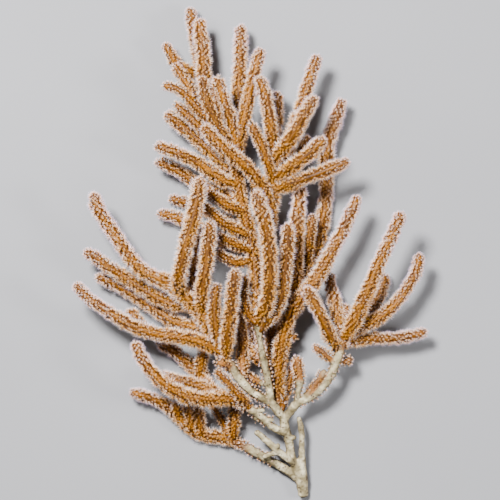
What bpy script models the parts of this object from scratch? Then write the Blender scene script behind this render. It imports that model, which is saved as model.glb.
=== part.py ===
"""A bushy sea fan laid on its back on a flat surface, foot towards -Y and crown towards +Y.

A bare, pale stem forks into limbs, and the limbs fork again into fingers that carry a
coat of polyps. Every limb and finger is a swept tube through hand-chosen points, and its
radius reaches the tips of the polyps. The coat is shaped as staggered lumps. A fork is a
joint between two pieces: the younger one is hollowed where it meets the older one, with
a hair's gap between them. The lowest fingers are pressed flat where the colony rests.
"""

import math

import bmesh
import bpy
from mathutils import Vector
from mathutils.bvhtree import BVHTree

MM = 0.001

# Driving dimensions, in millimetres
COAT = 7.0  # a finger's radius, out to the tips of its polyps
SLIM_COAT = 6.0  # the same on a slimmer finger
TIP_SHARE = 0.85  # of that radius, where a finger starts to round off
FORK_SHARE = 0.8  # of that radius, where a finger starts inside its limb
BARE = 4.0  # a stretch of a smaller radius than this carries no polyps
VALLEY = 0.83  # the coat's radius between its lumps, as a share of the crests'
LUMP_PITCH = 14.0  # from one ring of lumps to the next
GAP = 0.45  # between two pieces at a fork
ROUND_STEPS = 1  # bevel_resolution, which gives six sides
CURVE_STEPS = 10  # steps between two points of a route
EYE_HEIGHT = 2030  # where the routes are seen from, straight above the origin
SEEN_PLANE = 30  # the height at which the routes' X and Y are true
SIDES = 6
TINY = 0.001
CRUMB = 0.05  # corners nearer to each other than this are merged after the cuts

POLYP_COLOUR = (0.78, 0.50, 0.24, 1.0)
STEM_COLOUR = (0.72, 0.68, 0.52, 1.0)


def bare(*points):
    """A stretch with its own radius at each point: (x, y, height, radius)."""
    return list(points)


def finger(*points, start=None, reach=COAT):
    """A finger with a coat of polyps, through points (x, y, height)."""
    first = reach * FORK_SHARE if start is None else start
    radii = [first] + [reach] * (len(points) - 2) + [reach * TIP_SHARE]
    return [(*point, radius) for point, radius in zip(points, radii)]


# Each piece: its name, then the routes of its tubes. X runs across the colony and Y from
# foot to crown, as an eye above the colony sees them. A piece's first route is its main
# run, and the others are its side twigs. A route starts inside the piece that carries it.

STEM = {
    "stem": [
        bare((42.8, -196.3, 3.7, 4.2), (41.9, -188, 5.2, 4.4), (38.9, -178, 7.5, 4.2),
             (35.2, -169, 10, 3.6), (32.4, -160, 12.5, 3.4), (31.3, -151.5, 15, 3.4),
             (28.6, -143, 18, 3.9), (27.2, -136, 20.5, 3.6), (26.8, -130.5, 22, 3.2)),
        bare((42.8, -188, 6, 3.9), (42.3, -179, 8, 3.6), (41.6, -170, 10, 3.3),
             (41.4, -162, 12, 2.5), (41.4, -152, 13, 2.0), (41.2, -144, 13.8, 2.4),
             (40.2, -137.5, 14.6, 2.2), (38.6, -131.5, 15.5, 1.6)),
        bare((31.5, -149, 16, 2.0), (34.6, -148.6, 18, 1.9), (37, -148.2, 19, 1.6)),
    ],
    "broken_fork": [
        bare((35, -170, 12, 2.6), (29.5, -164.5, 15, 2.9), (22, -159, 18.5, 2.8),
             (16.5, -154, 20, 2.8), (11.5, -149.5, 20.5, 2.7), (3.8, -143.3, 21, 2.1)),
        bare((22.5, -160, 18.5, 2.2), (16, -161.8, 17, 2.2), (9.5, -163.8, 15, 1.9)),
        bare((18.5, -157, 19.5, 1.8), (22.3, -155, 21, 1.9), (23.8, -154, 22, 1.5)),
    ],
}

LOW_LIMB = {
    "low_limb": [
        bare((38, -181.5, 6, 3.2), (31, -175.8, 7.5, 3.5), (22, -170, 8, 3.4),
             (12, -164.3, 8, 3.3), (3, -159.4, 7.6, 3.7), (-4, -156, 7.2, 4.8),
             (-11, -152.3, 6.8, 5.8)),
    ],
    "low_curve": [
        finger((-8, -153.5, 6.8), (-17, -148.9, 5.8), (-27, -148.2, 5.5),
               (-36, -146.7, 5.4), (-44.5, -142.7, 5.6), (-52, -136.6, 6.2),
               (-58.5, -130, 7), (-66, -123.4, 8.2), (-77, -118, 10), (-87, -114.4, 12),
               (-98, -111.8, 13.5)),
        finger((-46, -142, 8), (-47.5, -134, 10), (-48.5, -126, 12), (-49, -118, 13),
               reach=SLIM_COAT),
        finger((-57, -132, 8), (-58.5, -126, 11), (-60, -119, 13), reach=SLIM_COAT),
        finger((-38, -146, 7), (-40.5, -137, 10), (-41.5, -128, 12), (-42, -119, 13),
               reach=SLIM_COAT),
        finger((-13.5, -149, 9), (-12.8, -139, 13.5), (-12.3, -129, 16.5),
               (-12, -120, 19), (-12, -112.5, 20), reach=6.3),
        finger((-17, -147, 7), (-20.5, -138, 8.5), (-25, -130, 9.5), (-31.5, -122.5, 10),
               reach=4.6),
    ],
}

HOOK_LIMB = {
    "hook_limb": [
        bare((29, -145.5, 18, 2.7), (22, -142.3, 21, 2.9), (14, -136.3, 24, 3.0),
             (7, -130.3, 26.5, 3.2), (1, -126.3, 28.5, 4.0), (-5, -122, 30.5, 5.4),
             (-12, -117.8, 33, 6.4)),
        bare((13.5, -134.5, 24.5, 1.8), (17, -134.2, 26.5, 1.7), (19.2, -134.8, 27, 1.4)),
        bare((4.5, -128, 27.5, 2.2), (8.5, -126.2, 29.5, 2.0), (11.8, -127, 30, 1.6)),
        bare((5.5, -130.5, 26, 2.3), (4.5, -133.5, 25, 2.0), (8.5, -135.4, 24, 1.5)),
    ],
    "hook": [
        finger((-8, -119, 32), (-20, -117.3, 36), (-31, -118, 38), (-41, -117.5, 40),
               (-51, -115.5, 41), (-61, -110.5, 42), (-70, -104.3, 43), (-77.5, -97, 43),
               (-83.5, -89.5, 43), (-88.8, -81, 43), (-92.8, -70.3, 43), reach=7.2),
    ],
    "hook_back": [
        finger((-17, -117, 34), (-29, -111.5, 25), (-40, -107.5, 21), (-51, -104.5, 20),
               (-62, -102, 20), (-75, -97.5, 21), reach=6.5),
    ],
    "cross_riser": [
        finger((-29, -112.5, 25), (-35, -104, 15.5), (-41.5, -96.5, 12.5),
               (-48.5, -90, 11.5), (-55.5, -84, 11.5), (-63, -78, 11.5), (-75.5, -69, 12),
               reach=6.8),
        finger((-40.5, -99, 14), (-39.5, -92, 17), (-38, -84, 19.5), (-36.5, -73, 20.5),
               reach=5.8),
    ],
    "hook_sprig": [
        finger((0, -125.5, 29), (-5, -118.5, 37.5), (-12, -111, 42), (-19, -103.5, 44),
               (-28.5, -93.5, 45), start=2.8, reach=5.4),
    ],
}

LEFT_LIMB = {
    "left_limb": [
        bare((25.8, -132, 22, 2.9), (21, -125.5, 24, 3.8), (16.3, -120.2, 26, 3.7),
             (8, -115.8, 28, 3.3), (0.5, -110.8, 30, 3.0), (-6, -104, 32, 3.2),
             (-12, -96.3, 33, 3.6), (-18.5, -86.8, 34, 4.6), (-24.5, -77.5, 35, 5.8),
             (-30, -69, 35.5, 6.3)),
        finger((-13, -95, 34), (-20, -90, 39), (-28.5, -87.5, 41), start=2.6, reach=5.0),
        finger((-7, -102.5, 32), (-6, -92, 26), (-6, -80, 22.5), (-7, -67, 21.5),
               (-8.5, -54, 21), (-10, -39, 20.5), start=2.6, reach=6.2),
    ],
    "low_long": [
        finger((-22, -81, 35), (-33, -75, 38), (-46, -70.3, 40), (-59, -67.8, 41),
               (-72, -66, 41), (-85, -63, 41), (-96, -58.3, 41), (-106, -52.8, 40),
               (-115, -47, 39), (-123.5, -41.3, 38.5), (-131, -35, 38),
               (-141.5, -23.5, 38)),
        finger((-84, -61, 39), (-91.5, -53, 33), (-98.5, -44.8, 31), reach=6.3),
    ],
    "low_reach": [
        finger((-28.5, -71, 32), (-39, -61.5, 24), (-50, -59, 20), (-61, -55.4, 18),
               (-71, -49, 15.5), (-80, -42.5, 13.5), (-90, -36, 12.5), (-101, -29.3, 12),
               (-112, -23.5, 13), (-124.5, -18.3, 15)),
    ],
}

LEFT_FAN = {
    "left_fan": [
        finger((-28.5, -71.5, 35.5), (-32, -60.5, 37.5), (-38, -50, 37.5),
               (-46, -41, 37.5), (-55, -32.5, 37.5), (-65, -24.5, 37),
               (-75, -20.3, 36.5), (-83, -16.7, 36), (-90, -11, 36), (-96, -4, 36),
               (-102, 4.5, 36.5), (-108.3, 13.8, 37), (-115.5, 24, 38),
               (-121.8, 35, 39), (-126.2, 49.5, 40), reach=8.0),
    ],
    "left_reach": [
        finger((-47, -41, 36), (-60, -42, 27), (-73, -37, 24.5), (-84, -30.5, 23.5),
               (-94, -24, 23), (-104, -17.8, 23), (-113.5, -11.8, 24), (-123, -4.8, 25),
               (-134.5, 2.3, 26)),
    ],
    "stripe_left": [
        finger((-54, -35, 37.5), (-57.3, -26, 47), (-56.2, -15, 54), (-52.8, -1, 57.5),
               (-49.9, 12, 59.5), (-46.3, 24, 61), (-43.5, 37, 62), (-41.2, 50, 63),
               (-39.7, 61.7, 64), reach=7.3),
    ],
    "left_inner": [
        finger((-43, -45, 37), (-45.5, -31, 34), (-46, -16, 33), (-43.5, -1, 33),
               (-40.8, 12, 34), (-39.5, 23.5, 35), reach=SLIM_COAT),
    ],
    "stripe_middle": [
        finger((-38, -50, 38), (-38.6, -36, 47), (-37, -23, 51), (-35.2, -10, 53),
               (-34, 3, 55), (-32.8, 14, 56), (-32.2, 26, 57)),
    ],
    "low_stripe": [
        finger((-19.5, -86, 35), (-18.5, -75, 43.5), (-17.6, -63, 47.5),
               (-16.2, -52, 50.5), (-14.8, -40, 53), (-13.2, -28, 55.5), (-11.3, -12, 58),
               start=4.0, reach=6.8),
    ],
    "low_stripe_back": [
        finger((-24, -77, 37), (-26.3, -64, 43.5), (-28.2, -52, 45), (-28, -40, 46),
               (-26.3, -23.5, 47.5), reach=6.3),
    ],
}

MIDDLE = {
    "middle_limb": [
        bare((17, -119.5, 26, 2.7), (15.5, -110, 29, 3.1), (13.9, -100, 31.5, 2.9),
             (12, -91, 33.5, 2.9), (10, -82, 35, 2.9), (8.3, -73, 36.5, 2.2),
             (7, -65, 37.5, 2.3), (5, -56.5, 38, 2.9)),
        finger((13.5, -106, 30), (5.5, -103.3, 25), (-2, -99, 21), (-8.5, -92.5, 19.5),
               start=2.0, reach=4.6),
        finger((11.5, -89, 33), (5, -84, 24), (0.5, -75, 14), (-1, -65, 11),
               (-1.5, -53, 12), start=2.2, reach=6.2),
    ],
    "trunk": [
        finger((5.6, -59, 38), (4.6, -46, 36), (4.6, -34, 31), (4.6, -21, 28),
               (3.5, -8, 27), (1, 6, 26), (-2, 20, 26), (-5.5, 34, 26), (-8.5, 48, 27),
               (-10.5, 64, 29), (-11, 80, 33), (-13.5, 95, 39), (-16.3, 108, 44),
               (-20.5, 120, 48), (-24, 131, 51), (-27.2, 141.5, 54), start=2.6,
               reach=6.8),
        finger((3, -6, 27), (-7, -9, 33), (-16.5, -7, 36), (-27.5, 1.5, 38), reach=5.6),
        finger((0, 12, 27), (-9.5, 17, 33.5), (-20, 22, 37.5), (-29, 30, 40),
               (-39, 39.5, 42), reach=5.6),
        finger((1, 0, 28), (-9.5, 5, 33), (-18, 9, 35), (-27.5, 14, 37), reach=5.4),
        finger((-5, 32, 28), (-15.5, 36, 33), (-25, 41.5, 36), (-36, 49.3, 38),
               reach=5.6),
        finger((3, -10, 24), (6, 4, 14), (7.5, 18, 8), (7.5, 32, 7.5), (6, 46, 8),
               (4, 62, 9), reach=6.5),
    ],
    "stripe_centre": [
        finger((5.6, -58.5, 39), (9.8, -49, 46), (13.8, -40, 51.5), (15.3, -28, 55.5),
               (16, -15, 58.5), (15.8, -2, 61), (14.2, 11, 63), (12, 23, 64.5),
               (8.8, 35, 65.5), (3, 50.3, 66.5), start=2.2, reach=7.3),
    ],
    "stripe_right": [
        finger((7, -64, 37.5), (14, -54, 41), (21, -45, 43), (25, -35, 45),
               (27, -22, 47), (28.8, -8, 49), (30, 6, 51), (30.6, 25, 53), start=2.0,
               reach=6.8),
    ],
    "inner_left": [
        finger((5, -57, 38.5), (-1, -50, 39), (-4.5, -40, 40), (-5, -29, 41),
               (-4, -16.5, 41.5), start=2.4, reach=5.6),
    ],
}

LEFT_CROWN = {
    "crown_short_low": [
        finger((-1, 5, 25), (-14, 6.5, 19), (-27, 11.5, 14), (-39, 18.5, 11.5),
               (-51, 24.3, 11), (-62, 28.4, 11), (-76, 32, 12), reach=6.6),
    ],
    "crown_short": [
        finger((-4, 19, 24), (-18, 24, 17), (-30, 30.5, 10.4), (-42, 36.5, 5.4),
               (-53, 40.2, 4.8), (-66.5, 43.6, 6.4), reach=6.2),
    ],
    "crown_left_low": [
        finger((-8, 42, 26), (-21, 44.5, 22), (-32, 49, 19), (-42, 54.8, 17.5),
               (-50, 59.8, 17), (-58, 64.8, 17.5), (-66, 69, 18.5), (-77, 73, 20),
               reach=6.8),
    ],
    "crown_left": [
        finger((-10.5, 54, 28), (-20, 56.5, 33), (-28, 61.5, 35.5), (-35.5, 67, 37),
               (-43, 72.3, 38), (-50, 75.8, 38.5), (-57.5, 79, 39), (-66, 82.3, 39),
               (-77.7, 86, 39), reach=6.8),
    ],
    "crown_left_high": [
        finger((-10.7, 62, 29), (-20, 70, 23), (-28.5, 78, 20.5), (-37, 85.8, 19.5),
               (-45, 92.8, 19), (-53, 99.8, 19), (-61, 106, 19.5), (-69.3, 112.3, 20)),
    ],
    "crown_slim": [
        finger((-11, 70, 30), (-19, 77.5, 35), (-27, 86.5, 35), (-35, 95, 34.5),
               (-42, 102, 34), (-48.5, 108, 33.5), (-55, 114, 33), (-61.8, 119.7, 33),
               reach=5.6),
        finger((-34, 94, 34.5), (-39, 103, 29), (-44, 111, 26), (-50, 119.5, 25),
               reach=5.6),
    ],
    "crown_side": [
        finger((-13.5, 93, 38), (-25.5, 101, 41), (-34, 107.3, 42), (-41, 113.8, 43),
               (-47, 120.5, 43), (-53, 127, 43), (-60, 131, 42.5), (-71.7, 133.7, 42),
               reach=5.6),
        finger((-45, 122, 42), (-48, 131, 37), (-53, 138, 34), (-57, 144.5, 33),
               (-60.5, 151.5, 32), reach=5.8),
    ],
    "crown_stripe_side": [
        finger((-15, 83, 37), (-21, 93, 45.5), (-27, 103, 50), (-31.5, 113, 52.5),
               (-35.3, 124, 54), (-38.8, 141.3, 55.5), reach=5.8),
        finger((-24.5, 99, 48), (-26.5, 110, 49), (-28.5, 121, 50), (-31, 138, 51),
               reach=5.4),
    ],
    "crown_tall": [
        finger((-11.5, 72, 29), (-19, 85, 23.5), (-25.5, 97, 22), (-30, 109, 22),
               (-33.5, 121, 22.5), (-35.6, 133, 23), (-36.8, 145, 24), (-37.6, 156, 25),
               (-38.8, 171, 26), (-40.2, 188, 27), reach=7.3),
    ],
    "crown_tallest": [
        finger((-28, 104, 21), (-33, 116, 13), (-36.5, 128, 8.5), (-38.5, 140, 5.9),
               (-40.3, 152, 5.4), (-42, 164, 5.7), (-45, 178, 8.5), (-48.6, 197.7, 12),
               reach=6.9),
        finger((-39, 138, 8), (-46.5, 143.5, 10), (-54.5, 147.5, 12), (-61, 154, 14),
               (-69.5, 169, 16), reach=6.4),
    ],
    "crown_middle": [
        finger((-10.8, 76, 32), (-8.5, 89, 37), (-6, 101, 39), (-3.5, 113, 40),
               (-1, 124, 40), (1.7, 135, 40), (5, 147, 40), (7, 156, 40), (10, 165, 40),
               reach=6.5),
    ],
    "crown_back": [
        finger((-10, 76, 29), (-9.5, 90, 21), (-10, 104, 16.5), (-9.6, 117, 15.5),
               (-9, 130, 15.5), (-8.5, 143, 16), (-8.1, 156, 17), (-7.4, 169, 18),
               (-7, 184, 19), reach=7.6),
    ],
}

RIGHT_CROWN = {
    "right_trunk": [
        finger((4.2, -20, 28), (8.5, -7, 23), (12, 8, 21), (15.3, 24, 22),
               (17.3, 38, 24.5), (18.2, 52, 27), (18.3, 66, 30), (18, 80, 34),
               (17, 95, 38), (15.3, 110, 42), (12.2, 125, 45.5), (6.3, 142, 49)),
        finger((18.3, 58, 30), (13.8, 72, 41), (9.7, 84, 46), (5.3, 93.5, 48),
               (-0.3, 104.7, 49), reach=5.6),
        finger((18.3, 52, 26), (29, 62, 19), (37, 73, 17), (43, 83, 17),
               (47.3, 94, 17.5), reach=6.3),
    ],
    "crown_cross": [
        finger((16, 37, 25), (11.5, 49, 35), (4.5, 60, 43), (-4, 68.7, 47.5),
               (-12, 75.2, 50), (-20, 82.2, 52), (-28, 90.2, 53), (-38, 102.5, 54),
               reach=6.8),
    ],
    "right_side_stripe": [
        finger((18.3, 49, 27), (31, 53.8, 36), (43, 58.3, 41), (55, 62.8, 44),
               (67, 67.8, 45), (81.7, 73.5, 46), reach=6.6),
    ],
    "right_short_stripe": [
        finger((18.3, 59, 29), (30, 65.5, 39), (41, 74, 45), (51.5, 82.3, 48),
               (61, 93, 50), reach=6.8),
    ],
    "right_crown_stripe": [
        finger((18, 72, 32), (25, 80.5, 41), (32.5, 90.5, 47), (39, 101.5, 50.5),
               (45, 112, 53), (53.5, 126, 55)),
    ],
    "right_tall": [
        finger((18.6, 66, 29), (26.8, 79, 27), (33, 92, 27.5), (37.8, 104, 28),
               (41.6, 116, 29), (45, 130, 30), (49.4, 144, 31), (55.4, 159.4, 32),
               reach=7.3),
    ],
    "right_upright": [
        finger((17.4, 86, 35), (19, 95, 25), (20.4, 104, 22), (21.2, 114, 21.5),
               (21.4, 130.5, 21.5)),
    ],
}

RIGHT_COLUMN = {
    "column": [
        finger((22, -126.5, 22), (21.8, -113, 18), (22.4, -99, 18.5), (24, -85, 20),
               (26, -71, 22), (28.8, -58, 25), (34.4, -46, 28.5), (42.6, -35, 31.5),
               (51.4, -24, 33), (59.4, -11.4, 34), (66.4, 1.5, 35), (72.8, 13.6, 36),
               (78.8, 26.6, 37), (87, 46.6, 38), start=1.8, reach=7.3),
        finger((27, -67, 22), (33, -67.5, 21), (38.6, -68.4, 21), reach=4.2),
        bare((28, -57, 24, 1.6), (31, -50.5, 31.5, 1.5), (33.8, -42.6, 35, 1.0)),
        finger((22, -108, 18), (17.8, -98, 10), (16, -86, 8.4), (16.4, -73, 8.4),
               (18.6, -60, 9), (20.8, -44, 10), start=3.0, reach=6.3),
    ],
    "right_inner": [
        finger((34.5, -44.5, 29), (35.8, -30, 26.5), (36, -16, 25.5), (36.6, -2, 25),
               (37.6, 12, 25), (38, 26, 25.5), (39, 40, 26), (41, 54, 26.5), reach=7.6),
    ],
    "right_rear": [
        finger((38, -41, 30), (41, -28, 20), (44.6, -15, 12), (49.6, -3, 8), (54, 8.6, 6.2),
               (57, 20, 5.8), (59.4, 31.5, 5.8), (60.8, 44, 6.2), (61, 57, 7.6),
               (60.6, 70, 9.5), (61.2, 83, 12), (64.6, 95, 14), (69.2, 107.6, 16),
               (74.6, 124.6, 18), reach=7.6),
        finger((46, -11, 12), (46.4, 0, 19), (47.4, 10, 21.5), (48.8, 20, 22.5),
               (51, 31.5, 23.5), reach=6.0),
    ],
}

RIGHT_LIMB = {
    "right_limb": [
        bare((28, -133.4, 22, 2.8), (33, -126.4, 22.5, 3.5), (38.4, -120.6, 23, 3.6),
             (44.8, -117.4, 23.5, 3.5), (51.6, -113.4, 24, 3.5), (58.4, -107.2, 25, 3.5),
             (64.4, -98.8, 26, 3.5), (68, -90, 27, 3.6), (71, -82, 28.5, 3.8),
             (74, -74.5, 30, 5.2), (76.4, -67, 31, 6.4)),
        finger((67, -88.5, 28), (61.5, -83.4, 32), (56, -79, 34), (48.6, -74.6, 35),
               start=2.2, reach=5.4),
        finger((69.4, -87, 27), (76, -87.6, 22), (83.2, -84.4, 20), start=2.2, reach=5.2),
        finger((42.5, -117.5, 24), (48.6, -110, 25.5), (54.6, -103, 27), (60.6, -93.6, 28),
               start=2.4, reach=4.1),
    ],
    "fork_spur": [
        bare((37.4, -120, 23, 2.4), (38.4, -113, 27, 2.2), (39.4, -106.5, 30, 2.8),
             (39.8, -99.5, 32, 5.4), (38.8, -91.6, 33.5, 6.0), (36.8, -81.8, 34.5, 4.8)),
    ],
    "fork_finger": [
        finger((25.6, -127, 21.5), (27, -117, 14.5), (30.8, -106, 11.5), (34.2, -95.4, 11),
               (35.8, -84, 11.5), start=1.8, reach=5.4),
    ],
    "right_low": [
        finger((73.5, -73, 29), (84, -70, 23.5), (95, -69.2, 20.5), (107, -69.4, 19),
               (118, -69, 18.5), (128.6, -67, 19), (143.4, -63.2, 20), reach=6.8),
    ],
    "right_reach": [
        finger((76, -67.5, 31), (86, -61, 29), (98, -55.4, 28), (109.4, -48.4, 27.5),
               (119.2, -38.2, 27.5), (126.8, -27, 28), (132.8, -16, 29),
               (136.4, 0.8, 30), reach=6.8),
    ],
    "right_long": [
        finger((76, -69.5, 31.5), (82, -58, 38), (88, -45, 42), (93.6, -32, 44.5),
               (99, -19, 46), (104.6, -6, 47), (110.4, 7, 48), (116.2, 19, 49),
               (122.4, 34, 50), reach=7.4),
    ],
    "right_short": [
        finger((92, -56.5, 28), (97, -46, 17), (102, -37, 10), (105.6, -28, 6.4),
               (108.4, -15.4, 5.8)),
    ],
    "right_fan_inner": [
        finger((73.5, -71.5, 29.5), (71.4, -60, 21), (69.4, -47, 15.5), (66.6, -35, 13),
               (61.4, -14.5, 12)),
        finger((72, -63, 23), (76, -54, 17), (78.4, -40.5, 14), reach=SLIM_COAT),
    ],
    "right_fan_stripe": [
        finger((70.8, -81, 28.5), (65.8, -71, 37), (60.6, -60, 41.5), (55.6, -49, 44),
               (50.6, -39, 45.5), (44.4, -27, 47), start=4.2, reach=6.8),
    ],
}

COLONY = {**STEM, **LOW_LIMB, **HOOK_LIMB, **LEFT_LIMB, **LEFT_FAN, **MIDDLE,
          **LEFT_CROWN, **RIGHT_CROWN, **RIGHT_COLUMN, **RIGHT_LIMB}


def clear_scene():
    for obj in list(bpy.data.objects):
        bpy.data.objects.remove(obj, do_unlink=True)


def collection(name):
    made = bpy.data.collections.new(name)
    bpy.context.scene.collection.children.link(made)
    return made


def material(name, colour, roughness):
    made = bpy.data.materials.new(name)
    made.use_nodes = True
    shader = made.node_tree.nodes["Principled BSDF"]
    shader.inputs["Base Color"].default_value = colour
    shader.inputs["Roughness"].default_value = roughness
    shader.inputs["Metallic"].default_value = 0.0
    return made


def placed(x, y, height, radius):
    """The real place of a point that the eye sees at x and y."""
    share = (EYE_HEIGHT - height) / (EYE_HEIGHT - SEEN_PLANE)
    return Vector((x * share, y * share, height, radius))


def smooth_route(points):
    """Points close together on a smooth curve through the given (x, y, z, radius)."""
    ends = [placed(*point) for point in points]
    ends = [2 * ends[0] - ends[1], *ends, 2 * ends[-1] - ends[-2]]
    dense = []
    for a, b, c, d in zip(ends, ends[1:], ends[2:], ends[3:]):
        for step in range(CURVE_STEPS):
            t = step / CURVE_STEPS
            dense.append(0.5 * (2 * b + (c - a) * t + (2 * a - 5 * b + 4 * c - d) * t**2
                                + (3 * b - a - 3 * c + d) * t**3))
    dense.append(ends[-2])
    return dense


def place_along(dense, distance):
    """The point of the smooth route at this distance from its start."""
    for a, b in zip(dense, dense[1:]):
        step = (b.xyz - a.xyz).length
        if distance <= step:
            return a.lerp(b, distance / step)
        distance -= step
    return dense[-1].copy()


def rings_of(points):
    """The centres and radii of a tube's rings: evenly spaced, then rounded off at the tip."""
    dense = smooth_route(points)
    length = sum((b.xyz - a.xyz).length for a, b in zip(dense, dense[1:]))
    tip = points[-1][3]
    shank = length - tip
    count = max(2, round(shank / LUMP_PITCH))
    rings = [place_along(dense, shank * k / count) for k in range(count + 1)]
    for share, narrow in ((0.62, 0.8), (1.0, 0.36)):
        ring = place_along(dense, shank + tip * share)
        ring.w = tip * narrow
        rings.append(ring)
    return rings


def staggered(mesh, rings, skin):
    """Pulls every other corner of a coated ring inwards, which leaves staggered lumps."""
    places = {}
    caps = len(mesh.vertices) - len(rings) * SIDES
    for index, vertex in enumerate(mesh.vertices[caps:]):
        ring, side = divmod(index, SIDES)
        centre = rings[ring].xyz * MM
        lump = rings[ring].w - skin < BARE or (ring + side) % 2 == 0
        share = 1.0 if lump or ring > len(rings) - 2 else VALLEY
        key = tuple(round(c / (TINY * MM)) for c in vertex.co)
        places[key] = centre + (vertex.co - centre) * share
    for vertex in mesh.vertices:
        key = tuple(round(c / (TINY * MM)) for c in vertex.co)
        vertex.co = places[key]


def tube(name, points, skin=0.0):
    """A tube along one route, as a closed mesh in metres, with its skin moved out."""
    rings = rings_of(points)
    for end, inner in ((rings[0], rings[1]), (rings[-1], rings[-2])):
        end.xyz += (end.xyz - inner.xyz).normalized() * skin
    curve = bpy.data.curves.new(name, "CURVE")
    curve.dimensions = "3D"
    curve.bevel_depth = MM
    curve.bevel_resolution = ROUND_STEPS
    curve.use_fill_caps = True
    spline = curve.splines.new("POLY")
    spline.points.add(len(rings) - 1)
    for point, ring in zip(spline.points, rings):
        ring.w += skin
        point.co = (*(ring.xyz * MM), 1.0)
        point.radius = ring.w
    source = bpy.data.objects.new(name + "_curve", curve)
    bpy.context.scene.collection.objects.link(source)
    graph = bpy.context.evaluated_depsgraph_get()
    mesh = bpy.data.meshes.new_from_object(source.evaluated_get(graph))
    bpy.data.objects.remove(source, do_unlink=True)
    bpy.data.curves.remove(curve)
    staggered(mesh, rings, skin)
    shell = bmesh.new()
    shell.from_mesh(mesh)
    bmesh.ops.remove_doubles(shell, verts=shell.verts, dist=TINY * MM)
    bmesh.ops.triangulate(shell, faces=shell.faces)
    shell.to_mesh(mesh)
    shell.free()
    return mesh


def put(name, mesh, where):
    obj = bpy.data.objects.new(name, mesh)
    where.objects.link(obj)
    return obj


def cutter(name, mesh, where):
    obj = put(name, mesh, where)
    obj.hide_render = True
    obj.display_type = "WIRE"
    return obj


def combine(obj, other, operation):
    """Joins other to obj, or cuts it away, and keeps the result as obj's own mesh."""
    modifier = obj.modifiers.new("combine", "BOOLEAN")
    modifier.operation = operation
    modifier.object = other
    graph = bpy.context.evaluated_depsgraph_get()
    result = bpy.data.meshes.new_from_object(obj.evaluated_get(graph))
    obj.modifiers.remove(modifier)
    obj.data = result


def tree_of(mesh):
    shell = bmesh.new()
    shell.from_mesh(mesh)
    tree = BVHTree.FromBMesh(shell)
    shell.free()
    return tree


def corners(mesh):
    low = Vector([min(v.co[axis] for v in mesh.vertices) for axis in range(3)])
    high = Vector([max(v.co[axis] for v in mesh.vertices) for axis in range(3)])
    return low, high


def boxes_meet(first, second):
    (low_a, high_a), (low_b, high_b) = corners(first), corners(second)
    return all(low_a[k] <= high_b[k] and low_b[k] <= high_a[k] for k in range(3))


def keep_largest(obj):
    """Deletes the slivers that a cut has split off."""
    shell = bmesh.new()
    shell.from_mesh(obj.data)
    left, islands = set(shell.faces), []
    while left:
        island, front = set(), [left.pop()]
        while front:
            face = front.pop()
            island.add(face)
            near = {f for e in face.edges for f in e.link_faces} & left
            left -= near
            front.extend(near)
        islands.append(island)
    islands.sort(key=lambda island: sum(face.calc_area() for face in island))
    loose = {vertex for island in islands[:-1] for face in island for vertex in face.verts}
    bmesh.ops.delete(shell, geom=list(loose), context="VERTS")
    shell.to_mesh(obj.data)
    shell.free()


def tidy(mesh):
    """Merges the crumbs of faces that the cuts leave along their edges."""
    shell = bmesh.new()
    shell.from_mesh(mesh)
    bmesh.ops.remove_doubles(shell, verts=shell.verts, dist=CRUMB * MM)
    bmesh.ops.triangulate(shell, faces=shell.faces)
    shell.to_mesh(mesh)
    shell.free()


def ground(where):
    """The surface that the colony lies on, which presses its lowest fingers flat."""
    size, depth = 0.6, 0.05
    mesh = bpy.data.meshes.new("ground")
    shell = bmesh.new()
    bmesh.ops.create_cube(shell, size=1.0)
    for vertex in shell.verts:
        top = vertex.co.z > 0
        vertex.co = (vertex.co.x * size, vertex.co.y * size, 0.0 if top else -depth)
    shell.to_mesh(mesh)
    shell.free()
    return cutter("ground", mesh, where)


def build_piece(name, routes, fan, cutters):
    """One piece: its tubes joined into a single solid."""
    obj = put(name, tube(name, routes[0]), fan)
    for number, route in enumerate(routes[1:]):
        twig = cutter(f"{name}_twig_{number}", tube(name, route), cutters)
        combine(obj, twig, "UNION")
        bpy.data.objects.remove(twig, do_unlink=True)
    return obj


def trim(obj, older, cutters):
    """Cuts a piece back from every older piece that it runs into."""
    for other, skins in older:
        for skin in skins:
            if not boxes_meet(obj.data, skin) or not tree_of(obj.data).overlap(tree_of(skin)):
                continue
            tool = cutter(f"{obj.name}_from_{other}"[:60], skin, cutters)
            combine(obj, tool, "DIFFERENCE")
            bpy.data.objects.remove(tool, do_unlink=True)
            keep_largest(obj)


def main():
    clear_scene()
    fan, cutters = collection("sea_fan"), collection("cutters")
    polyps = material("polyps", POLYP_COLOUR, 0.7)
    pale = material("pale_stem", STEM_COLOUR, 0.6)
    floor = ground(cutters)
    bare_pieces = {"stem", "broken_fork", "middle_limb"}
    older = []
    for name, routes in COLONY.items():
        obj = build_piece(name, routes, fan, cutters)
        if corners(obj.data)[0].z < 0:
            combine(obj, floor, "DIFFERENCE")
        trim(obj, older, cutters)
        tidy(obj.data)
        obj.data.materials.clear()
        obj.data.materials.append(pale if name in bare_pieces else polyps)
        obj.data.shade_smooth()
        obj.data.set_sharp_from_angle(angle=math.radians(60))
        older.append((name, [tube(name, route, GAP) for route in routes]))


main()
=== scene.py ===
# %% [markdown]
# A bushy sea fan, lying on its back on a pale surface.
#
# A sea fan is a colony. A thin, horny skeleton forks again and again, and thousands of
# small animals, the polyps, live in a soft amber coat on it. Each polyp opens a crown of
# eight pale arms. Near the foot the coat has died back, which leaves bare, cream limbs.
# The lesson loads the plain solids first, and then grows the look along the same routes.

# %% Load the frame
import math
from collections import namedtuple

import bmesh
import bpy
import numpy as np
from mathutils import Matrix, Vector
from mathutils.kdtree import KDTree


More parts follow.
